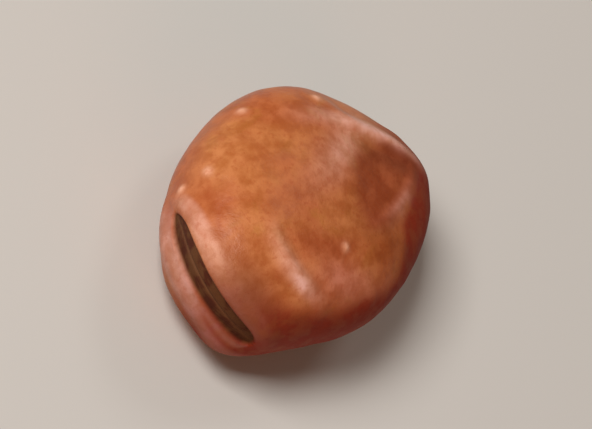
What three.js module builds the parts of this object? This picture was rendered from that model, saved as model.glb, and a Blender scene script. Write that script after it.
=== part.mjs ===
// A dried broad bean: one solid seed lying on its flatter face, in millimetres, +Z up.
// +X points to the blunt end that carries the hilum, the dark scar of the stalk. The origin is under the
// middle of the seed, on the surface that it rests on.
import * as THREE from 'three';
import { mergeVertices } from 'three/addons/utils/BufferGeometryUtils.js';

const DEGREE = Math.PI / 180;

// Outline seen from above: distances from the middle to the control points of a smooth closed curve,
// one every 30 degrees, counter-clockwise from +X
const PLAN_RADII = [10.0, 9.3, 7.3, 6.9, 7.3, 8.4, 11.7, 9.0, 9.4, 8.4, 8.4, 8.6];

// Thicknesses above and below the seam at the middle, and the part by which each grows over 10 mm toward
// the hilum
const ABOVE = { thickness: 4.35, growth: 0.15 };
const BELOW = { thickness: 4.6, growth: 0.05 };

// Roundness of the cross-section: 1 is an ellipse, and less is fuller toward its corners
const SIDE_ROUNDNESS = 0.85;
const HILUM_END_ROUNDNESS = 0.72;

// The hilum runs round the end wall, highest at its middle, and each of its edges carries a lip. The lips
// close round its ends, from a share of its length on, and die away past them. The upper one falls off steeply
const HILUM = {
  direction: 4 * DEGREE,
  wallRadius: 10,
  wallFrom: [3.5, 6],
  halfLength: 5.3,
  halfWidth: 0.84,
  height: 1.09,
  droop: 1.1,
  depth: 0.26,
  edge: [0.45, 1.4],
  endPower: 4,
  upperLip: { offset: 1.5, height: 0.3 },
  lowerLip: { offset: 1.8, height: 0.2 },
  lipsMeetWithin: 0.5,
  lipWidth: 0.75,
  lipFall: 0.7,
  lipsClose: { from: 0.75, slope: 0.55 },
  lipsEnd: [0.9, 1.6],
};

// The wall is swollen in a corner under one end of the hilum
const CORNER = { direction: 25 * DEGREE, wallRadius: 9, halfLength: 1.8, z: -2.2, halfWidth: 1.3, height: 0.48 };

// The coat has sunk in between two arcs that meet at the far end: it goes down slowly from the face toward
// them, from the line through a point across a direction, and comes up again at the far arc. At the side arc
// it comes up slowly too, but for a narrow rim
const DENT = {
  depth: 0.7,
  farArc: { centre: [6.4, 12.9], radius: 20.15, slope: 0.7 },
  sideArc: { centre: [-2.3, -7.8], radius: 9.8, slope: 4.5, rim: 0.6, rimShare: 0.2 },
  start: [-3.9, -2.4],
  toward: [-0.78, 0.62],
  wayDown: [-1.0, 3.8],
};

// Ridges and furrows that follow arcs on a face: the arc's centre and radius, its first and last angle, the
// widths inside and outside the arc, and the height, which is negative for a furrow
const UPPER_RIDGES = [
  { centre: [6.4, 12.9], radius: 20.4, from: -148, to: -106, inside: 0.45, outside: 0.7, height: 0.3 },
  { centre: [-14.4, -7.8], radius: 10.0, from: 2, to: 30, inside: 0.4, outside: 0.5, height: 0.12 },
  { centre: [-2.3, -7.8], radius: 9.95, from: 80, to: 136, inside: 0.3, outside: 0.5, height: 0.08 },
  { centre: [0.3, 0.8], radius: 5.3, from: -25, to: 60, inside: 0.5, outside: 0.6, height: 0.26 },
];
const LOWER_RIDGES = [
  { centre: [6.0, -9.0], radius: 7.0, from: 70, to: 160, inside: 0.7, outside: 0.7, height: -0.3 },
  { centre: [-7.5, 7.0], radius: 6.2, from: -95, to: 5, inside: 0.6, outside: 0.6, height: 0.22 },
];

// What lies on a face dies away over this height as it nears the seam
const FACE_FADE = 1.5;

// The seed stands on a small flat spot, where its lowest part is pressed level
const FLAT_SPOT_DEPTH = 0.12;

// The surface is cut in square cells, as many along each side of a box; the rows on the end wall are drawn
// together by this part, so that they follow the narrow hilum, more and more over this reach of the ball
const CELLS_PER_SIDE = 30;
const ROWS_DRAWN_IN = { part: 0.45, reach: [0.3, 0.8] };

function bell(x) {
  return Math.exp(-x * x);
}

function smoothStep(low, high, x) {
  return THREE.MathUtils.smoothstep(x, low, high);
}

// Distance from the middle to the outline in the plan, on a periodic cubic spline
function planRadius(angle) {
  const count = PLAN_RADII.length;
  const place = THREE.MathUtils.euclideanModulo((angle / (2 * Math.PI)) * count, count);
  const first = Math.floor(place);
  const f = place - first;
  const weights = [
    (1 - f) ** 3 / 6,
    (3 * f ** 3 - 6 * f ** 2 + 4) / 6,
    (-3 * f ** 3 + 3 * f ** 2 + 3 * f + 1) / 6,
    f ** 3 / 6,
  ];
  return weights.reduce((sum, weight, k) => sum + weight * PLAN_RADII[(first + k - 1 + count) % count], 0);
}

// Point of the plain seed, without its relief, in the direction of a unit vector
function seedPoint(direction) {
  const across = Math.hypot(direction.x, direction.y);
  const angle = Math.atan2(direction.y, direction.x);
  const hilumEnd = Math.max(0, Math.cos(angle - HILUM.direction)) ** 3;
  const roundness = SIDE_ROUNDNESS + (HILUM_END_ROUNDNESS - SIDE_ROUNDNESS) * hilumEnd;
  const reach = planRadius(angle) * across ** roundness;
  const x = reach * Math.cos(angle);
  const half = direction.z > 0 ? ABOVE : BELOW;
  const rise = Math.sign(direction.z) * Math.abs(direction.z) ** roundness;
  return new THREE.Vector3(x, reach * Math.sin(angle), rise * half.thickness * (1 + (half.growth * x) / 10));
}

// Length along the wall from a direction in the plan
function alongWall(p, direction, wallRadius) {
  return (Math.atan2(p.y, p.x) - direction) * wallRadius;
}

// Height of the hilum's lips over a point of the end wall, from its place along the hilum, as a share of the
// half length, and its height over the hilum's middle line
function lipRelief(t, offset) {
  const { upperLip, lowerLip, lipsMeetWithin, lipsClose } = HILUM;
  const upper = smoothStep(-lipsMeetWithin, lipsMeetWithin, offset);
  const beyond = Math.max(0, Math.abs(t) - lipsClose.from) * HILUM.halfLength;
  const fromLine = Math.hypot(offset, lipsClose.slope * beyond);
  const past = fromLine - THREE.MathUtils.lerp(lowerLip.offset, upperLip.offset, upper);
  const lip = bell(past / (past > 0 && offset > 0 ? HILUM.lipFall : HILUM.lipWidth));
  const ends = 1 - smoothStep(...HILUM.lipsEnd, Math.abs(t));
  return THREE.MathUtils.lerp(lowerLip.height, upperLip.height, upper) * lip * ends;
}

// Depth of the hilum's sunken scar, which narrows to nothing at its two ends
function scarRelief(t, offset) {
  if (Math.abs(t) >= 1) {
    return 0;
  }
  const width = HILUM.halfWidth * Math.sqrt(1 - t ** HILUM.endPower);
  return -HILUM.depth * (1 - smoothStep(...HILUM.edge, Math.abs(offset) / width));
}

function hilumRelief(p) {
  const t = alongWall(p, HILUM.direction, HILUM.wallRadius) / HILUM.halfLength;
  const offset = p.z - (HILUM.height - HILUM.droop * t * t);
  return smoothStep(...HILUM.wallFrom, p.x) * (lipRelief(t, offset) + scarRelief(t, offset));
}

// Height of the swollen corner of the wall
function cornerRelief(p) {
  const along = alongWall(p, CORNER.direction, CORNER.wallRadius);
  return CORNER.height * bell(along / CORNER.halfLength) * bell((p.z - CORNER.z) / CORNER.halfWidth);
}

function distance(p, centre) {
  return Math.hypot(p.x - centre[0], p.y - centre[1]);
}

// Depth of the dent, inside both of its arcs
function dentRelief(p) {
  const { farArc, sideArc, start, toward } = DENT;
  const insideFar = farArc.radius - distance(p, farArc.centre);
  const insideSide = sideArc.radius - distance(p, sideArc.centre);
  const down = (p.x - start[0]) * toward[0] + (p.y - start[1]) * toward[1];
  const rim = smoothStep(0, sideArc.rim, insideSide);
  const sideWall = THREE.MathUtils.lerp(smoothStep(0, sideArc.slope, insideSide), rim, sideArc.rimShare);
  return -DENT.depth * smoothStep(0, farArc.slope, insideFar) * sideWall * smoothStep(...DENT.wayDown, down);
}

// Height of a ridge along its arc, fading out at both ends
function ridgeRelief(p, ridge) {
  const middle = ((ridge.from + ridge.to) / 2) * DEGREE;
  const half = ((ridge.to - ridge.from) / 2) * DEGREE;
  const turn = Math.atan2(p.y - ridge.centre[1], p.x - ridge.centre[0]) - middle;
  const off = Math.atan2(Math.sin(turn), Math.cos(turn)) / half;
  const fade = Math.max(0, 1 - off * off) ** 2;
  const past = distance(p, ridge.centre) - ridge.radius;
  return ridge.height * fade * bell(past / (past > 0 ? ridge.outside : ridge.inside));
}

// Height of the whole relief over a point of the plain seed
function relief(p) {
  const above = smoothStep(0, FACE_FADE, p.z);
  const below = smoothStep(0, FACE_FADE, -p.z);
  let height = hilumRelief(p) + cornerRelief(p) + above * dentRelief(p);
  for (const ridge of UPPER_RIDGES) {
    height += above * ridgeRelief(p, ridge);
  }
  for (const ridge of LOWER_RIDGES) {
    height += below * ridgeRelief(p, ridge);
  }
  return height;
}

// A closed ball of nearly equal cells: a box whose sides are cut in squares, blown out to a sphere
function unitBall(cells) {
  const box = new THREE.BoxGeometry(2, 2, 2, cells, cells, cells);
  box.deleteAttribute('normal');
  box.deleteAttribute('uv');
  const ball = mergeVertices(box, 1e-5);
  const place = ball.attributes.position;
  const point = new THREE.Vector3();
  for (let i = 0; i < place.count; i += 1) {
    point.fromBufferAttribute(place, i);
    point.set(...point.toArray().map((value) => Math.tan((value * Math.PI) / 4)));
    point.normalize();
    point.z *= 1 - ROWS_DRAWN_IN.part * smoothStep(...ROWS_DRAWN_IN.reach, point.x) * (1 - point.z ** 2);
    point.normalize();
    place.setXYZ(i, point.x, point.y, point.z);
  }
  return ball;
}

// The seed: the ball drawn out to the plain form, then lifted and sunk along its normals by the relief
function beanGeometry() {
  const geometry = unitBall(CELLS_PER_SIDE);
  const place = geometry.attributes.position;
  const point = new THREE.Vector3();
  const normal = new THREE.Vector3();
  for (let i = 0; i < place.count; i += 1) {
    point.copy(seedPoint(point.fromBufferAttribute(place, i)));
    place.setXYZ(i, point.x, point.y, point.z);
  }
  geometry.computeVertexNormals();
  for (let i = 0; i < place.count; i += 1) {
    point.fromBufferAttribute(place, i);
    normal.fromBufferAttribute(geometry.attributes.normal, i);
    point.addScaledVector(normal, relief(point));
    place.setXYZ(i, point.x, point.y, point.z);
  }
  standOnFlatSpot(geometry);
  geometry.deleteAttribute('normal');
  return geometry;
}

// Centres the seed over the origin and presses its lowest part level with the surface
function standOnFlatSpot(geometry) {
  const place = geometry.attributes.position;
  geometry.computeBoundingBox();
  const { min, max } = geometry.boundingBox;
  geometry.translate(-(min.x + max.x) / 2, -(min.y + max.y) / 2, -min.z - FLAT_SPOT_DEPTH);
  for (let i = 0; i < place.count; i += 1) {
    place.setZ(i, Math.max(0, place.getZ(i)));
  }
}

const coat = new THREE.MeshStandardMaterial({ color: 0xb4673c, roughness: 0.45, metalness: 0 });

const bean = new THREE.Mesh(beanGeometry(), coat);
bean.name = 'bean';

const seed = new THREE.Group();
seed.add(bean);

export default seed;
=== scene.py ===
import math

import bpy
import numpy as np
from mathutils import Matrix, Vector


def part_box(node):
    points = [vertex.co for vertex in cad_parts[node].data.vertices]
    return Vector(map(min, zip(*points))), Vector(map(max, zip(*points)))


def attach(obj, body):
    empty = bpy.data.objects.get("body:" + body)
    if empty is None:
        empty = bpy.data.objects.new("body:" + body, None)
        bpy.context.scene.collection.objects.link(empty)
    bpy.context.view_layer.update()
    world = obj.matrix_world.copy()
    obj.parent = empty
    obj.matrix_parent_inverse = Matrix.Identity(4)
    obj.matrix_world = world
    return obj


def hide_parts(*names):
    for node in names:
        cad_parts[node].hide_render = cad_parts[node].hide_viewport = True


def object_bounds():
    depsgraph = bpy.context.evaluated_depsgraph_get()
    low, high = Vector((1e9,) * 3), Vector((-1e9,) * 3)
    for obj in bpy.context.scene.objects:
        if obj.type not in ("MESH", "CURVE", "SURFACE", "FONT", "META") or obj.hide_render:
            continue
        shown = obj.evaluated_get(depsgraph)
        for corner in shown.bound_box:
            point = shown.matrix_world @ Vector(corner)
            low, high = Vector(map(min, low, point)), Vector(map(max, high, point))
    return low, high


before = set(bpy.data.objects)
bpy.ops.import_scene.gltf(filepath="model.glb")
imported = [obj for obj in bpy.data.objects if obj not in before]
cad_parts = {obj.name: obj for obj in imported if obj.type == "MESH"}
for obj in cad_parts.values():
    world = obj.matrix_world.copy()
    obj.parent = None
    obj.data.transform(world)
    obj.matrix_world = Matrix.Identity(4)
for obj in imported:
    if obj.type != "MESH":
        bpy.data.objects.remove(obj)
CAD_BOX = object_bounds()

# The seed's form is worked out in millimetres, in the frame's axes, and turned to metres at the end
MM = 0.001
DEGREE = math.pi / 180

# Outline seen from above: distances from the middle to the control points of a smooth closed curve,
# one every 30 degrees, counter-clockwise from +X
PLAN_RADII = [10.0, 9.3, 7.3, 6.9, 7.3, 8.4, 11.7, 9.0, 9.4, 8.4, 8.4, 8.6]

# Thicknesses above and below the seam at the middle, and the part by which each grows over a length toward
# the hilum
ABOVE = {"thickness": 4.35, "growth": 0.15}
BELOW = {"thickness": 4.6, "growth": 0.05}
GROWTH_LENGTH = 10

# Roundness of the cross-section: 1 is an ellipse, and less is fuller toward its corners. The hilum's end has
# its own, and the higher the power, the less far round the wall that goes
SIDE_ROUNDNESS = 0.85
HILUM_END_ROUNDNESS = 0.72
HILUM_END_POWER = 3

# The hilum runs round the end wall, highest at its middle, with a lip along each side. The scar is sunk
# inside its edge, a range of shares of its half width, and narrows to its ends by a power, which makes the
# one toward +Y blunter. The lips close round its ends, from a share of its half length on, and die away past
# them. The upper one falls off a little faster on its outer side
HILUM = {
    "direction": 4 * DEGREE,
    "wall_radius": 10,
    "wall_from": (3.5, 6),
    "half_length": 5.3,
    "half_width": 0.84,
    "height": 1.09,
    "droop": 1.1,
    "depth": 0.24,
    "edge": (0.8, 1.12),
    "end_power": 4,
    "blunt_end_power": 8,
    "narrowest": 0.01,
    "cushion": 0.1,
    "slit_depth": 0.09,
    "slit_width": 0.09,
    "slit_ends": (1, 0.8),
    "upper_lip": {"offset": 1.5, "height": 0.3},
    "lower_lip": {"offset": 1.8, "height": 0.2},
    "lips_meet_within": 0.5,
    "lip_width": 0.75,
    "lip_fall": 0.7,
    "lips_close": {"from": 0.75, "slope": 0.55},
    "lips_end": (0.9, 1.6),
}

# The coat is paler over the lips, partly its own colour and partly a painted highlight where they face the
# key light. Each band starts and stops over a range of distances from the hilum's middle line, and loses a
# share of its strength over a range along the hilum, where the painted highlight fades. Along another range a
# groove opens, beyond which it starts.
# The bands end past the scar, over a range of shares of its half length
PALE_LIPS = {
    "upper_lip": {"start": (0.7, 1.35), "stop": (1.75, 2.2), "fading": (-3, 1), "loses": 0.9, "groove": 0},
    "lower_lip": {"start": (0.5, 1), "stop": (2.2, 3), "fading": (-1.5, 3.5), "loses": 0.5, "groove": 0.8},
}
GROOVE_OPENS = (-1.0, 2.5)
PALE_LIPS_END = (0.95, 1.3)

# A thin pale line goes along the scar's edge: place and width as shares of its half width, where it ends as
# shares of its half length, and how much of it there is on the upper side
PALE_EDGE = {"place": 1.35, "width": 0.3, "ends": (0.9, 1.05), "upper_share": 0.3}

# The wall is swollen in a corner under one end of the hilum
CORNER = {
    "direction": 25 * DEGREE,
    "wall_radius": 9,
    "half_length": 1.8,
    "z": -2.2,
    "half_width": 1.3,
    "height": 0.48,
}

# The coat has sunk in between two arcs that meet at the far end: it goes down slowly from the face toward
# them, from the line through a point across a direction, and comes up again at the far arc. At the side arc
# it comes up slowly too, but for a narrow rim
DENT = {
    "depth": 0.7,
    "far_arc": {"centre": (6.4, 12.9), "radius": 20.15, "slope": 0.7},
    "side_arc": {"centre": (-2.3, -7.8), "radius": 9.8, "slope": 4.5, "rim": 0.6, "rim_share": 0.2},
    "start": (-3.9, -2.4),
    "toward": (-0.78, 0.62),
    "way_down": (-1.0, 3.8),
}

# The dent is painted darker, in a disc whose edge shows on the dent's open side. The disc is cut off at
# the two arcs, and is darkest near the far one, a painted shadow under the far rim: ranges of distances
# inside the disc and the arcs
DARK_FLOOR = {
    "centre": (-5.33, 1.3),
    "radius": 3.75,
    "edge": (-0.7, 0.7),
    "far_edge": (-0.25, 0.2),
    "side_edge": (-0.7, 0.1),
    "darkest_within": (0.2, 2.7),
}

# Ridges and furrows that follow arcs on a face: the arc's centre, radius and angles, the widths inside and
# outside the arc, and the height, which is negative for a furrow
FAR_RIM = {
    "centre": (6.4, 12.9), "radius": 20.4, "angles": (-148, -106),
    "inside": 0.45, "outside": 0.7, "height": 0.3,
}
DENT_SHOULDER = {
    "centre": (-14.4, -7.8), "radius": 10.0, "angles": (2, 30),
    "inside": 0.4, "outside": 0.5, "height": 0.12,
}
SIDE_RIM = {
    "centre": (-2.3, -7.8), "radius": 9.95, "angles": (80, 136),
    "inside": 0.3, "outside": 0.5, "height": 0.08,
}
HILUM_FOLD = {
    "centre": (0.3, 0.8), "radius": 5.3, "angles": (-25, 60),
    "inside": 0.5, "outside": 0.6, "height": 0.26,
}
UNDER_FURROW = {
    "centre": (6.0, -9.0), "radius": 7.0, "angles": (70, 160),
    "inside": 0.7, "outside": 0.7, "height": -0.3,
}
UNDER_RIDGE = {
    "centre": (-7.5, 7.0), "radius": 6.2, "angles": (-95, 5),
    "inside": 0.6, "outside": 0.6, "height": 0.22,
}
UPPER_RIDGES = [FAR_RIM, DENT_SHOULDER, SIDE_RIM, HILUM_FOLD]
LOWER_RIDGES = [UNDER_FURROW, UNDER_RIDGE]

# A ridge of this height has the whole of the ridges' paler colour, a painted highlight along their crests
FULL_RIDGE_HIGHLIGHT = 0.3

# What lies on a face dies away over these heights as it nears the seam
FACE_FADE = (0, 1.5)

# Small pimples on the upper face, painted pale as glints: a painted highlight
PIMPLES = [(6.12, -5.21), (1.35, -7.74), (-3.98, -6.55), (0.89, 2.51), (7.09, -4.98)]
PIMPLE_RADIUS = 0.3
PIMPLE_HEIGHT = 0.07

# The wall is darker and redder between two angles, partly the coat's own colour and partly painted shade on
# the side away from the key light. Each angle is a range over which that starts or ends; they are counted in
# one whole turn from an angle before the first. In each direction the wall is half dark at a share of the way
# out to the seam, and the change takes up a width
DARK_WALL = {
    "counted_from": -90,
    "starts": (-14, 18),
    "ends": (180, 222),
    "half_dark": {
        0: 0.9, 15: 0.85, 30: 0.82, 45: 0.81, 60: 0.83, 85: 0.78,
        110: 0.84, 120: 0.82, 135: 0.7, 150: 0.6, 165: 0.61, 180: 0.68,
    },
    "width": 0.2,
}

# Broad patches of another colour on the upper face: centre, half widths along a direction and across it
PATCHES = {
    "umber": {"centre": (-2.5, 2.7), "direction": 130, "reach": (3.0, 2.2)},
    # Partly a rosier coat, partly a painted highlight just inside the dark wall
    "rosy_and_highlight": {"centre": (1.6, 4.4), "direction": 150, "reach": (2.6, 1.1)},
    # Partly a mauve tone of the coat, partly a painted pinkish sheen toward the far rim
    "mauve_and_sheen": {"centre": (-2.7, -2.9), "direction": 17, "reach": (3.1, 1.1)},
    # Partly a paler coat, partly painted light on the side that faces the key light
    "fawn_and_lit": {"centre": (5.4, -6.2), "direction": 30, "reach": (3.0, 1.4)},
    "ruddy": {"centre": (1.5, 2.1), "direction": 165, "reach": (3.1, 0.9)},
    # Painted shade by the hilum's blunt end, over the lower part of its upper lip
    "hilum_end_shade": {"centre": (8.3, 2.0), "direction": 110, "reach": (2.6, 1.3)},
}

# The dent's two rims and the fold beside the hilum have a painted highlight along their crests: the middle of
# the place as an angle on the ridge's arc, how far it goes before and beyond that, how far outside the arc it
# lies, how wide it is and how strong. The painted highlight sets in between two heights over the seam
CREST_HIGHLIGHTS = [
    {"ridge": FAR_RIM, "angle": -129, "before": 8, "beyond": 5, "offset": 0.1, "width": 0.34, "share": 1},
    {"ridge": SIDE_RIM, "angle": 110, "before": 10, "beyond": 8, "offset": -0.15, "width": 0.3, "share": 0.3},
    {"ridge": HILUM_FOLD, "angle": 26, "before": 9, "beyond": 8, "offset": 0.2, "width": 0.3, "share": 1},
]
CREST_HIGHLIGHTS_FROM = (1.4, 2.6)

# Low swellings, ripples and creases of the dried coat. The creases come in patches, where a longer wave is
# high, and all of this dies away toward the underside, between two heights
SWELLINGS = {"wavelength": 5.5, "height": 0.045, "seed": 3}
RIPPLES = {"wavelength": 1.9, "height": 0.012, "seed": 8}
CREASES = {"wavelength": 4.5, "width": 0.2, "depth": 0.012, "seed": 5}
CREASE_PATCHES = {"wavelength": 7.0, "seed": 6, "high": (-0.2, 1.2)}
SMOOTH_UNDERSIDE = (-3.0, -4.2)

# Each of those fields is a sum of plane waves, whose lengths are spread by these factors
WAVE_COUNT = 36
WAVE_SPREAD = (0.7, 1.4)

# The seed stands on a small flat spot, where its lowest part is pressed level
FLAT_SPOT_DEPTH = 0.12

# The surface is cut in square cells, as many along each side of a box; the rows on the end wall are drawn
# together by this part, more and more over this reach of the ball
CELLS_PER_SIDE = 118
ROWS_DRAWN_IN = {"part": 0.45, "reach": (0.3, 0.8)}


def bell(x):
    return np.exp(-x * x)


def smooth_step(low, high, x):
    t = np.clip((x - low) / (high - low), 0, 1)
    return t * t * (3 - 2 * t)


def plan_distance(p, centre):
    return np.hypot(p[:, 0] - centre[0], p[:, 1] - centre[1])


def plan_angle(p, centre=(0, 0)):
    return np.arctan2(p[:, 1] - centre[1], p[:, 0] - centre[0])


def inside(p, circle):
    """How far each point lies inside a circle in the plan, negative outside it."""
    return circle["radius"] - plan_distance(p, circle["centre"])


def unit_ball(cells):
    """Directions and square cells of a cube whose sides are cut in squares, blown out to a ball."""
    i, j = (grid.ravel() for grid in np.meshgrid(range(cells), range(cells), indexing="ij"))
    ring = [(0, 0), (1, 0), (1, 1), (0, 1)]
    faces = []
    for axis in range(3):
        for side, corners in ((cells, ring), (-cells, ring[::-1])):
            face = np.empty((len(i), 4, 3), int)
            for k, (di, dj) in enumerate(corners):
                face[:, k, axis] = side
                face[:, k, (axis + 1) % 3] = 2 * (i + di) - cells
                face[:, k, (axis + 2) % 3] = 2 * (j + dj) - cells
            faces.append(face)
    lattice, index = np.unique(np.concatenate(faces).reshape(-1, 3), axis=0, return_inverse=True)
    ball = np.tan(lattice / cells * math.pi / 4)
    ball /= np.linalg.norm(ball, axis=1)[:, None]
    drawn_in = ROWS_DRAWN_IN["part"] * smooth_step(*ROWS_DRAWN_IN["reach"], ball[:, 0])
    ball[:, 2] *= 1 - drawn_in * (1 - ball[:, 2] ** 2)
    ball /= np.linalg.norm(ball, axis=1)[:, None]
    return ball, index.reshape(-1, 4)


def plan_radius(angle):
    """Distance from the middle to the outline in the plan, on a periodic cubic spline."""
    radii = np.array(PLAN_RADII)
    place = (angle / (2 * math.pi) * len(radii)) % len(radii)
    first = np.floor(place).astype(int)
    f = place - first
    weights = [
        (1 - f) ** 3 / 6,
        (3 * f ** 3 - 6 * f ** 2 + 4) / 6,
        (-3 * f ** 3 + 3 * f ** 2 + 3 * f + 1) / 6,
        f ** 3 / 6,
    ]
    return sum(weight * radii[(first + k - 1) % len(radii)] for k, weight in enumerate(weights))


def seed_points(ball):
    """Points of the plain seed, without its relief, in the directions of the ball."""
    across = np.hypot(ball[:, 0], ball[:, 1])
    angle = plan_angle(ball)
    hilum_end = np.maximum(0, np.cos(angle - HILUM["direction"])) ** HILUM_END_POWER
    roundness = SIDE_ROUNDNESS + (HILUM_END_ROUNDNESS - SIDE_ROUNDNESS) * hilum_end
    reach = plan_radius(angle) * across ** roundness
    x = reach * np.cos(angle)
    up = ball[:, 2] > 0
    thickness = np.where(up, ABOVE["thickness"], BELOW["thickness"])
    growth = np.where(up, ABOVE["growth"], BELOW["growth"])
    rise = np.sign(ball[:, 2]) * np.abs(ball[:, 2]) ** roundness
    z = rise * thickness * (1 + growth * x / GROWTH_LENGTH)
    return np.stack([x, reach * np.sin(angle), z], 1)


def surface_normals(points, quads):
    """Unit normal at each point, from the cells round it."""
    a, b, c, d = (points[quads[:, k]] for k in range(4))
    face = np.cross(c - a, d - b)
    normals = np.zeros_like(points)
    for k in range(4):
        np.add.at(normals, quads[:, k], face)
    return normals / np.linalg.norm(normals, axis=1)[:, None]


def wave_field(points, wavelength, seed):
    """A smooth random field of about unit size: plane waves of nearly one length in all directions."""
    draw = np.random.default_rng(seed)
    directions = draw.normal(size=(WAVE_COUNT, 3))
    directions /= np.linalg.norm(directions, axis=1)[:, None]
    lengths = wavelength * draw.uniform(*WAVE_SPREAD, WAVE_COUNT)
    phases = draw.uniform(0, 2 * math.pi, WAVE_COUNT)
    waves = points @ (directions * (2 * math.pi / lengths)[:, None]).T + phases
    return np.sin(waves).sum(1) * math.sqrt(2 / WAVE_COUNT)


def along_wall(p, place):
    """Length along the wall from a place's direction in the plan."""
    return (plan_angle(p) - place["direction"]) * place["wall_radius"]


def hilum_place(p):
    """Length along the hilum, height over its middle line, and distance from the line and its ends."""
    along = along_wall(p, HILUM)
    t = along / HILUM["half_length"]
    offset = p[:, 2] - (HILUM["height"] - HILUM["droop"] * t * t)
    closing = HILUM["lips_close"]
    beyond_end = np.maximum(0, np.abs(along) - closing["from"] * HILUM["half_length"])
    return along, offset, np.hypot(offset, closing["slope"] * beyond_end)


def lip_relief(t, offset, from_line):
    """Height of the hilum's two lips."""
    upper = smooth_step(-HILUM["lips_meet_within"], HILUM["lips_meet_within"], offset)
    crest, lift = (
        HILUM["lower_lip"][key] + (HILUM["upper_lip"][key] - HILUM["lower_lip"][key]) * upper
        for key in ("offset", "height")
    )
    past = from_line - crest
    lip = bell(past / np.where((past > 0) & (offset > 0), HILUM["lip_fall"], HILUM["lip_width"]))
    return lift * lip * (1 - smooth_step(*HILUM["lips_end"], np.abs(t)))


def pale_lip(lip, along, from_line):
    """Share of the paler colour over one of the lips, partly the coat's own and partly a painted highlight.
    """
    groove = lip["groove"] * smooth_step(*GROOVE_OPENS, along)
    band = smooth_step(*lip["start"], from_line - groove) * (1 - smooth_step(*lip["stop"], from_line))
    return band * (1 - lip["loses"] * smooth_step(*lip["fading"], along))


def pale_edge(t, offset, share):
    """Share of the paler coat along the scar's edge."""
    line = bell((share - PALE_EDGE["place"]) / PALE_EDGE["width"])
    line *= 1 - smooth_step(*PALE_EDGE["ends"], np.abs(t))
    return line * np.where(offset > 0, PALE_EDGE["upper_share"], 1)


def hilum_relief(p, masks):
    """Height of the sunken scar with its cushion and slit, and of the two lips; fills in their masks."""
    along, offset, from_line = hilum_place(p)
    t = along / HILUM["half_length"]
    on_end = smooth_step(*HILUM["wall_from"], p[:, 0])
    power = np.where(t > 0, HILUM["blunt_end_power"], HILUM["end_power"])
    narrowing = np.sqrt(np.maximum(0, 1 - np.abs(t) ** power))
    share = np.abs(offset) / (HILUM["half_width"] * np.maximum(HILUM["narrowest"], narrowing))
    scar = np.where(np.abs(t) < 1, 1 - smooth_step(*HILUM["edge"], share), 0) * on_end
    cushion = np.clip(1 - share ** 2, 0, 1) * scar
    slit = bell(offset / HILUM["slit_width"]) * scar * smooth_step(*HILUM["slit_ends"], np.abs(t))
    masks["scar"] = scar
    masks["slit"] = slit
    masks["edge"] = on_end * pale_edge(t, offset, share)
    near = on_end * (1 - smooth_step(*PALE_LIPS_END, np.abs(t)))
    for name, side in (("upper_lip", offset > 0), ("lower_lip", offset <= 0)):
        masks[name] = near * np.where(side, pale_lip(PALE_LIPS[name], along, from_line), 0)
    floor = HILUM["cushion"] * cushion - HILUM["depth"] * scar - HILUM["slit_depth"] * slit
    return on_end * lip_relief(t, offset, from_line) + floor


def corner_relief(p):
    """Height of the swollen corner under the hilum."""
    along = along_wall(p, CORNER) / CORNER["half_length"]
    across = (p[:, 2] - CORNER["z"]) / CORNER["half_width"]
    return CORNER["height"] * bell(along) * bell(across)


def dent_share(p):
    """How deep the dent is at each point, from 0 to 1."""
    far_arc, side_arc = DENT["far_arc"], DENT["side_arc"]
    side = inside(p, side_arc)
    down = (p[:, :2] - DENT["start"]) @ np.array(DENT["toward"])
    far_wall = smooth_step(0, far_arc["slope"], inside(p, far_arc))
    side_wall = side_arc["rim_share"] * smooth_step(0, side_arc["rim"], side)
    side_wall += (1 - side_arc["rim_share"]) * smooth_step(0, side_arc["slope"], side)
    return far_wall * side_wall * smooth_step(*DENT["way_down"], down)


def darker_dent(p):
    """Where the dent is painted darker, and where a painted shadow under the far rim makes it darkest, from 0
    to 1.
    """
    far = inside(p, DENT["far_arc"])
    floor = smooth_step(*DARK_FLOOR["edge"], inside(p, DARK_FLOOR))
    floor *= smooth_step(*DARK_FLOOR["far_edge"], far)
    floor *= smooth_step(*DARK_FLOOR["side_edge"], inside(p, DENT["side_arc"]))
    return floor, floor * (1 - smooth_step(*DARK_FLOOR["darkest_within"], far))


def ridge_share(p, ridge):
    """How high a ridge is at each point, from 0 to 1, fading out at both ends of its arc."""
    start, end = ridge["angles"]
    turn = plan_angle(p, ridge["centre"]) - (start + end) / 2 * DEGREE
    off = np.arctan2(np.sin(turn), np.cos(turn)) / ((end - start) / 2 * DEGREE)
    fade = np.maximum(0, 1 - off * off) ** 2
    past = -inside(p, ridge)
    return fade * bell(past / np.where(past > 0, ridge["outside"], ridge["inside"]))


def coat_relief(p, masks):
    """Height of swellings, ripples, creases and pimples, which leave the scar and the underside alone."""
    free = (1 - masks["scar"]) * (1 - smooth_step(*SMOOTH_UNDERSIDE, p[:, 2]))
    creases = bell(wave_field(p, CREASES["wavelength"], CREASES["seed"]) / CREASES["width"])
    patches = wave_field(p, CREASE_PATCHES["wavelength"], CREASE_PATCHES["seed"])
    creases *= smooth_step(*CREASE_PATCHES["high"], patches)
    masks["crease"] = creases
    height = SWELLINGS["height"] * wave_field(p, SWELLINGS["wavelength"], SWELLINGS["seed"])
    height += RIPPLES["height"] * wave_field(p, RIPPLES["wavelength"], RIPPLES["seed"])
    height -= CREASES["depth"] * creases
    pimples = np.zeros(len(p))
    upper_half = p[p[:, 2] >= 0]
    for place in PIMPLES:
        nearest = upper_half[np.argmin(plan_distance(upper_half, place))]
        pimples = np.maximum(pimples, bell(np.linalg.norm(p - nearest, axis=1) / PIMPLE_RADIUS))
    masks["pimple"] = pimples
    return free * (height + PIMPLE_HEIGHT * pimples)


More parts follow.
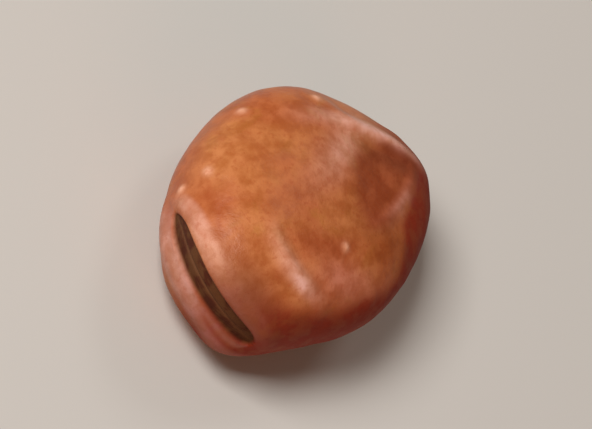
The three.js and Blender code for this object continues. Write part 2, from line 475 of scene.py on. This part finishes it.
def relief(p, masks):
    """Height of the whole relief over the points of the plain seed; fills in the masks that follow it."""
    above = smooth_step(*FACE_FADE, p[:, 2])
    below = smooth_step(*FACE_FADE, -p[:, 2])
    masks["dent_floor"], masks["rim_shadow"] = (above * mask for mask in darker_dent(p))
    masks["ridge"] = np.zeros(len(p))
    height = hilum_relief(p, masks) + corner_relief(p) - DENT["depth"] * above * dent_share(p)
    for side, ridges in ((above, UPPER_RIDGES), (below, LOWER_RIDGES)):
        for ridge in ridges:
            rise = ridge["height"] * side * ridge_share(p, ridge)
            height += rise
            masks["ridge"] = np.maximum(masks["ridge"], rise / FULL_RIDGE_HIGHLIGHT)
    return height + coat_relief(p, masks)


def stand_in_box(points, low, high):
    """Puts the seed in the middle of the node's box and presses its lowest part level, in millimetres."""
    middle = (points[:, :2].min(0) + points[:, :2].max(0)) / 2
    points[:, :2] += (low + high)[:2] / 2 - middle
    points[:, 2] += low[2] - points[:, 2].min() - FLAT_SPOT_DEPTH
    points[:, 2] = np.maximum(low[2], points[:, 2])
    return points


def dark_side(p):
    """Share of the darker, redder colour round the wall from one end of the hilum to the far end, partly the
    coat's own and partly painted shade.
    """
    angle = plan_angle(p)
    share = np.hypot(p[:, 0], p[:, 1]) / plan_radius(angle)
    first = DARK_WALL["counted_from"]
    turn = (angle / DEGREE - first) % 360 + first
    window = smooth_step(*DARK_WALL["starts"], turn) * (1 - smooth_step(*DARK_WALL["ends"], turn))
    half_dark = DARK_WALL["half_dark"]
    past = share - np.interp(turn, list(half_dark), list(half_dark.values()))
    return window * smooth_step(-DARK_WALL["width"] / 2, DARK_WALL["width"] / 2, past)


def patch_share(p, patch):
    """How much of a patch's colour there is at each point, from 0 to 1."""
    away = p[:, :2] - patch["centre"]
    turn = patch["direction"] * DEGREE
    along = away @ (math.cos(turn), math.sin(turn)) / patch["reach"][0]
    across = away @ (-math.sin(turn), math.cos(turn)) / patch["reach"][1]
    return bell(np.hypot(along, across)) * smooth_step(*FACE_FADE, p[:, 2])


def crest_highlight_share(p):
    """Where the crests of the ridges carry a painted highlight, from 0 to 1."""
    share = np.zeros(len(p))
    for place in CREST_HIGHLIGHTS:
        along = plan_angle(p, place["ridge"]["centre"]) / DEGREE - place["angle"]
        past = -inside(p, place["ridge"]) - place["offset"]
        reach = np.where(along > 0, place["beyond"], place["before"])
        share = np.maximum(share, place["share"] * bell(past / place["width"]) * bell(along / reach))
    return share * smooth_step(*CREST_HIGHLIGHTS_FROM, p[:, 2])


def make_bean():
    """The seed as one fine closed mesh, with the masks that its coat's colours read."""
    ball, quads = unit_ball(CELLS_PER_SIDE)
    plain = seed_points(ball)
    masks = {}
    height = relief(plain, masks)
    masks["dark"] = dark_side(plain)
    masks["crest_highlight"] = crest_highlight_share(plain)
    for name, patch in PATCHES.items():
        masks[name] = patch_share(plain, patch)
    points = plain + surface_normals(plain, quads) * height[:, None]
    low, high = (np.array(corner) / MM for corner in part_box("bean"))
    points = stand_in_box(points, low, high)
    mesh = bpy.data.meshes.new("bean_coat")
    mesh.from_pydata((points * MM).tolist(), [], quads.tolist())
    mesh.polygons.foreach_set("use_smooth", [True] * len(mesh.polygons))
    for name, values in masks.items():
        layer = mesh.attributes.new(name, "FLOAT", "POINT")
        layer.data.foreach_set("value", np.asarray(values, np.float32))
    mesh.validate()
    bean = bpy.data.objects.new("bean_coat", mesh)
    bpy.context.scene.collection.objects.link(bean)
    return bean


# Colours of the coat, linear
TAN = (0.51, 0.16, 0.045)
RED_BROWN = (0.44, 0.108, 0.03)
MAROON = (0.22, 0.018, 0.003)
OLIVE = (0.38, 0.13, 0.016)
# Painted glint on the pimples
PALE = (0.78, 0.36, 0.21)
PINK = (0.76, 0.38, 0.27)
DULL_PINK = (0.57, 0.28, 0.22)
# Painted highlight on the crests
CREST_HIGHLIGHTS_PALE = (0.77, 0.4, 0.31)
DENT_BROWN = (0.295, 0.056, 0.015)
DENT_SHADE = (0.15, 0.026, 0.008)
UMBER = (0.29, 0.066, 0.014)
# Rosier coat with a painted highlight
ROSE_AND_HIGHLIGHT = (0.6, 0.2, 0.12)
# Paler coat with painted light
FAWN_AND_LIT = (0.6, 0.23, 0.08)
RUDDY = (0.38, 0.075, 0.024)
# Painted shade by the hilum's blunt end
HILUM_END_SHADE = (0.25, 0.078, 0.034)
SCAR = (0.062, 0.011, 0.003)
SCAR_GREY = (0.1, 0.034, 0.01)
SLIT = (0.15, 0.06, 0.025)

# Shades that the mottling, the freckles and the creases multiply those colours by
DARK_MOTTLE = (0.86, 0.76, 0.66)
PALE_MOTTLE = (1.12, 1.2, 1.3)
RED_FRECKLE = (0.82, 0.6, 0.5)

# What is laid over the plain coat in turn, under and over the maroon of its dark wall: the mask, how much of
# the colour comes through at most, and the colour
UNDER_MAROON = [
    ("rosy_and_highlight", 0.7, ROSE_AND_HIGHLIGHT),
    ("fawn_and_lit", 0.32, FAWN_AND_LIT),
    ("ruddy", 0.6, RUDDY),
    ("umber", 0.85, UMBER),
]
OVER_MAROON = [
    ("mauve_and_sheen", 0.46, PINK),
    ("hilum_end_shade", 0.6, HILUM_END_SHADE),
    # Painted highlight along the ridges' crests
    ("ridge", 0.6, PINK),
    ("dent_floor", 0.9, DENT_BROWN),
    # Painted shadow under the dent's far rim
    ("rim_shadow", 0.65, DENT_SHADE),
    ("upper_lip", 0.55, PINK),
    ("lower_lip", 0.55, DULL_PINK),
    ("edge", 0.3, DULL_PINK),
    # Painted highlight along the crests of the rims and the fold
    ("crest_highlight", 0.8, CREST_HIGHLIGHTS_PALE),
    ("pimple", 0.9, PALE),
]

# How much of their own colour comes through in the creases, where it is painted shade, and in the slit along
# the scar
CREASE_SHARE = 0.4
SLIT_SHARE = 0.6

# Noises of the coat and the scar: how many to a millimetre, detail, roughness and distortion
NOISES = {
    "reddening": (0.22, 2, 0.5, 0),
    "olive": (0.35, 3, 0.55, 1),
    "mottle": (0.95, 3, 0.55, 0.15),
    "freckle": (2.8, 3, 0.6, 0),
    "fibre": (1.3, 3, 0.6, 0),
    "blotch": (1, 2, 0.5, 0),
    "leather": (2.6, 4, 0.6, 0),
    "pore": (11, 2, 0.5, 0),
}

# What a noise is turned to: its range, and the values at the two ends of that
SPANS = {
    "reddening": (0.32, 0.6, 0, 1),
    "olive": (0.52, 0.72, 0, 0.5),
    "maroon": (0.3, 0.7, -0.3, 0.15),
    "mottle": (0.32, 0.68, 0, 1),
    "freckle": (0.52, 0.72, 0, 0.5),
    "scar_grey": (0.62, 0.86, 0, 1),
    "roughness": (0.3, 0.7, 0.34, 0.44),
}

# The scar is greyer in blotches and in fibres along it. The fibres come from a noise drawn together in
# height, and weigh this much against the blotches
FIBRE_STRETCH = (1, 1, 8)
FIBRE_SHARE = 0.5

# How much rougher the coat is where a mask is, and how deep its bumps are in millimetres
ROUGHER = {"scar": 0.3, "dark": 0.35}
BUMPS = {"leather": 0.03, "pore": 0.008}

# Gloss of the coat
IOR = 1.46
SPECULAR_LEVEL = 0.36
SPECULAR_TINT = (1.0, 0.76, 0.64)


class Nodes:
    """Short calls to add shader nodes to one material."""

    def __init__(self, name):
        self.material = bpy.data.materials.new(name)
        self.material.use_nodes = True
        self.tree = self.material.node_tree
        self.shader = self.tree.nodes["Principled BSDF"]

    def add(self, kind, **settings):
        node = self.tree.nodes.new(kind)
        for key, value in settings.items():
            setattr(node, key, value)
        return node

    def put(self, value, socket):
        if isinstance(value, bpy.types.NodeSocket):
            self.tree.links.new(value, socket)
        elif isinstance(value, tuple) and len(value) == 3 and socket.type == "RGBA":
            socket.default_value = (*value, 1)
        else:
            socket.default_value = value

    def mask(self, name):
        return self.add("ShaderNodeAttribute", attribute_name=name).outputs["Fac"]

    def math(self, operation, a, b=0.0, clamp=False):
        node = self.add("ShaderNodeMath", operation=operation, use_clamp=clamp)
        self.put(a, node.inputs[0])
        self.put(b, node.inputs[1])
        return node.outputs[0]

    def share(self, value, part):
        return self.math("MULTIPLY", value, part)

    def mix(self, factor, a, b, blend="MIX"):
        node = self.add("ShaderNodeMix", data_type="RGBA", blend_type=blend)
        self.put(factor, node.inputs[0])
        self.put(a, node.inputs[6])
        self.put(b, node.inputs[7])
        return node.outputs[2]

    def span(self, value, low, high, to_low, to_high):
        node = self.add("ShaderNodeMapRange", interpolation_type="SMOOTHSTEP")
        for socket, number in zip(node.inputs[:5], (value, low, high, to_low, to_high)):
            self.put(number, socket)
        return node.outputs[0]

    def millimetres(self, stretch=(1, 1, 1)):
        place = self.add("ShaderNodeTexCoord").outputs["Object"]
        node = self.add("ShaderNodeMapping")
        self.put(place, node.inputs["Vector"])
        node.inputs["Scale"].default_value = tuple(s / MM for s in stretch)
        return node.outputs[0]

    def noise(self, place, per_mm, detail, rough, distortion):
        node = self.add("ShaderNodeTexNoise")
        self.put(place, node.inputs["Vector"])
        node.inputs["Scale"].default_value = per_mm
        node.inputs["Detail"].default_value = detail
        node.inputs["Roughness"].default_value = rough
        node.inputs["Distortion"].default_value = distortion
        return node.outputs["Fac"]

    def bump(self, height, millimetres, before=None):
        node = self.add("ShaderNodeBump")
        self.put(height, node.inputs["Height"])
        node.inputs["Distance"].default_value = millimetres * MM
        if before:
            self.put(before, node.inputs["Normal"])
        return node.outputs[0]


def paint(n, colour, layers):
    """Lays each colour over what is there already, where its mask is."""
    for mask, part, layer in layers:
        colour = n.mix(n.share(n.mask(mask), part), colour, layer)
    return colour


def coat_colour(n, place, mottle):
    """Mottled tan and red-brown with olive patches, maroon on one side partly as painted shade, painted shade
    and highlights laid over, freckled and creased.
    """
    reddening = n.noise(place, *NOISES["reddening"])
    olive = n.noise(place, *NOISES["olive"])
    freckle = n.noise(place, *NOISES["freckle"])
    colour = n.mix(n.span(reddening, *SPANS["reddening"]), TAN, RED_BROWN)
    colour = n.mix(n.span(olive, *SPANS["olive"]), colour, OLIVE)
    colour = paint(n, colour, UNDER_MAROON)
    # Maroon of the dark wall: partly the coat's own colour, partly painted shade
    maroon = n.math("ADD", n.mask("dark"), n.span(mottle, *SPANS["maroon"]), clamp=True)
    colour = n.mix(n.math("MULTIPLY", maroon, n.mask("dark")), colour, MAROON)
    colour = paint(n, colour, OVER_MAROON)
    shade = n.mix(n.span(mottle, *SPANS["mottle"]), DARK_MOTTLE, PALE_MOTTLE)
    shade = n.mix(n.span(freckle, *SPANS["freckle"]), shade, RED_FRECKLE)
    # Painted shade in the creases
    shade = n.mix(n.share(n.mask("crease"), CREASE_SHARE), shade, RED_FRECKLE)
    return n.mix(1.0, colour, shade, "MULTIPLY")


def scar_colour(n, place):
    """Dark brown with greyer fibres, and a paler slit along the middle."""
    fibre = n.noise(n.millimetres(FIBRE_STRETCH), *NOISES["fibre"])
    blotch = n.noise(place, *NOISES["blotch"])
    grey = n.math("ADD", n.share(fibre, FIBRE_SHARE), blotch)
    colour = n.mix(n.span(grey, *SPANS["scar_grey"]), SCAR, SCAR_GREY)
    return n.mix(n.share(n.mask("slit"), SLIT_SHARE), colour, SLIT)


def coat_material():
    """Satin, leathery seed coat with a dark, duller scar."""
    n = Nodes("seed_coat")
    place = n.millimetres()
    mottle = n.noise(place, *NOISES["mottle"])
    colour = n.mix(n.mask("scar"), coat_colour(n, place, mottle), scar_colour(n, place))
    n.put(colour, n.shader.inputs["Base Color"])
    rough = n.span(mottle, *SPANS["roughness"])
    for mask, more in ROUGHER.items():
        rough = n.math("ADD", rough, n.share(n.mask(mask), more), clamp=True)
    n.put(rough, n.shader.inputs["Roughness"])
    normal = None
    for name, depth in BUMPS.items():
        normal = n.bump(n.noise(place, *NOISES[name]), depth, normal)
    n.put(normal, n.shader.inputs["Normal"])
    n.shader.inputs["IOR"].default_value = IOR
    n.shader.inputs["Specular IOR Level"].default_value = SPECULAR_LEVEL
    n.put(SPECULAR_TINT, n.shader.inputs["Specular Tint"])
    return n.material


# A plain pale floor that the seed lies on
FLOOR = {"size": 4, "colour": (0.61, 0.57, 0.52), "roughness": 0.9}


def floor_material():
    n = Nodes("pale_floor")
    n.put(FLOOR["colour"], n.shader.inputs["Base Color"])
    n.put(FLOOR["roughness"], n.shader.inputs["Roughness"])
    return n.material


def make_floor():
    bpy.ops.mesh.primitive_plane_add(size=FLOOR["size"], location=(0, 0, CAD_BOX[0].z))
    floor = bpy.context.object
    floor.name = "floor"
    floor.data.materials.append(floor_material())


# The camera looks at the middle of the seed from over its hilum end, turned about its own line of sight
CAMERA = {"azimuth": 93.5, "elevation": 48.75, "turn": 59.9, "distance": 0.3, "lens": 300, "clip_start": 0.01}


def direction(azimuth, elevation):
    """Unit vector from the object to a place at that azimuth and elevation; azimuth 90 is along +X."""
    a, e = azimuth * DEGREE, elevation * DEGREE
    return Vector((math.sin(a) * math.cos(e), -math.cos(a) * math.cos(e), math.sin(e)))


def make_camera(middle):
    data = bpy.data.cameras.new("camera")
    data.lens = CAMERA["lens"]
    data.clip_start = CAMERA["clip_start"]
    camera = bpy.data.objects.new("camera", data)
    bpy.context.scene.collection.objects.link(camera)
    back = direction(CAMERA["azimuth"], CAMERA["elevation"])
    turn = Matrix.Rotation(CAMERA["turn"] * DEGREE, 4, "Z")
    place = Matrix.Translation(middle + back * CAMERA["distance"])
    camera.matrix_world = place @ back.to_track_quat("Z", "Y").to_matrix().to_4x4() @ turn
    bpy.context.scene.camera = camera


# Soft boxes: where they stand round the object, how large they are, how strong and of what colour
LIGHTS = {
    "key": {"azimuth": 50, "elevation": 48, "size": 0.2, "watts": 2.5, "colour": (1, 1, 1)},
    "rim": {"azimuth": -66, "elevation": 50, "size": 0.14, "watts": 0.25, "colour": (1, 1, 1)},
    "bounce": {"azimuth": 152, "elevation": 22, "size": 0.3, "watts": 0.4, "colour": (1, 0.45, 0.25)},
}
LIGHT_DISTANCE = 0.5
SKY = (1.0, 0.93, 0.84)
SKY_STRENGTH = 0.1


def make_lights(middle):
    for name, light in LIGHTS.items():
        data = bpy.data.lights.new(name, "AREA")
        data.size = light["size"]
        data.energy = light["watts"]
        data.color = light["colour"]
        lamp = bpy.data.objects.new(name, data)
        bpy.context.scene.collection.objects.link(lamp)
        toward = direction(light["azimuth"], light["elevation"])
        lamp.location = middle + toward * LIGHT_DISTANCE
        lamp.rotation_euler = toward.to_track_quat("Z", "Y").to_euler()
    world = bpy.data.worlds.new("sky")
    world.use_nodes = True
    background = world.node_tree.nodes["Background"]
    background.inputs["Color"].default_value = (*SKY, 1)
    background.inputs["Strength"].default_value = SKY_STRENGTH
    bpy.context.scene.world = world


middle = (CAD_BOX[0] + CAD_BOX[1]) / 2
make_camera(middle)
make_lights(middle)
make_floor()
bean = make_bean()
bean.data.materials.append(coat_material())
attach(bean, "root")
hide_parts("bean")
bpy.context.scene.view_settings.view_transform = "Standard"
